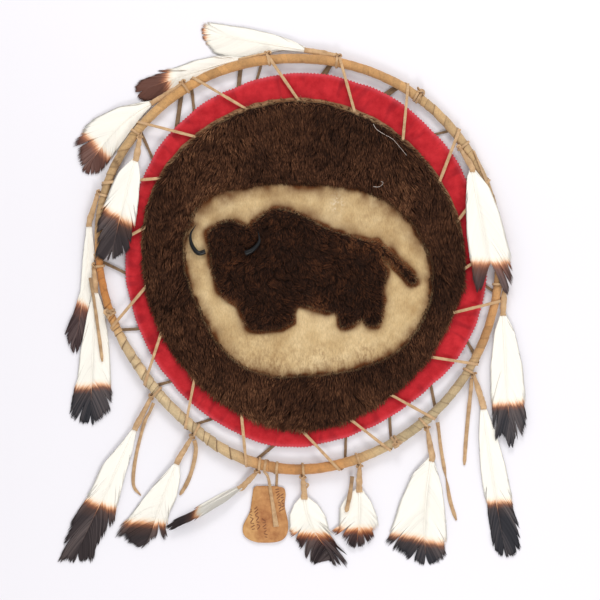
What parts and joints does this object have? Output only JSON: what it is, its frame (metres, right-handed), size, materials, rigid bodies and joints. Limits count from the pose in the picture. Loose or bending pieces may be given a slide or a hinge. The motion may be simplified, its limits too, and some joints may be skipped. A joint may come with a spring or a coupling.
{
  "type": "hide shield",
  "caption": "Round hoop shield: hide-wrapped rod hoop with a laced disc of fur hide over red cloth, a bison left in fur in a sheared oval, horns, feathers and a leather tag.",
  "frame": {"origin": "under the middle of the whole shield as it lies on its back, on the surface that it rests on", "axes": "+Z out of the shield's face, +Y towards its top edge, +X towards its right edge as it is seen from the front"},
  "size_m": [0.7034, 0.8322, 0.0269],
  "materials": {
    "buckskin_wrap": "suede hide wrap, matt, tan to orange tan",
    "thong_leather": "cut suede thong, matt",
    "red_wool": "milled wool cloth with a pinked edge",
    "fur_hide": "dark brown standing fur, and sheared tan hide in the window",
    "horn": "polished black",
    "feather": "cream white vane with a brown to black tip",
    "tag_leather": "smooth orange tan leather with burnt marks"
  },
  "bodies": {
    "root": {"hoop": "buckskin_wrap", "cloth_backing": "red_wool", "fur_hide": "fur_hide", "lacing": "thong_leather", "feather_01": "feather", "feather_tie_01": "thong_leather", "feather_02": "feather", "feather_tie_02": "thong_leather", "feather_03": "feather", "feather_tie_03": "thong_leather", "feather_04": "feather", "feather_tie_04": "thong_leather", "feather_05": "feather", "feather_tie_05": "thong_leather", "feather_06": "feather", "feather_tie_06": "thong_leather", "feather_07": "feather", "feather_tie_07": "thong_leather", "feather_08": "feather", "feather_tie_08": "thong_leather", "feather_09": "feather", "feather_tie_09": "thong_leather", "feather_10": "feather", "feather_tie_10": "thong_leather", "feather_11": "feather", "feather_tie_11": "thong_leather", "feather_12": "feather", "feather_tie_12": "thong_leather", "feather_13": "feather", "feather_tie_13": "thong_leather", "feather_14": "feather", "feather_tie_14": "thong_leather", "feather_15": "feather", "feather_tie_15": "thong_leather", "knot_top_right": "thong_leather", "knot_lower_right": "thong_leather", "knot_left": "thong_leather", "thong_end_left": "thong_leather", "thong_end_lower_left": "thong_leather", "thong_end_bottom_left": "thong_leather", "thong_end_bottom": "thong_leather", "thong_end_lower_right": "thong_leather", "thong_end_right": "thong_leather", "horn_left": "horn", "horn_right": "horn", "leather_tag": "tag_leather", "tag_thong": "thong_leather"}
  },
  "joints": []
}
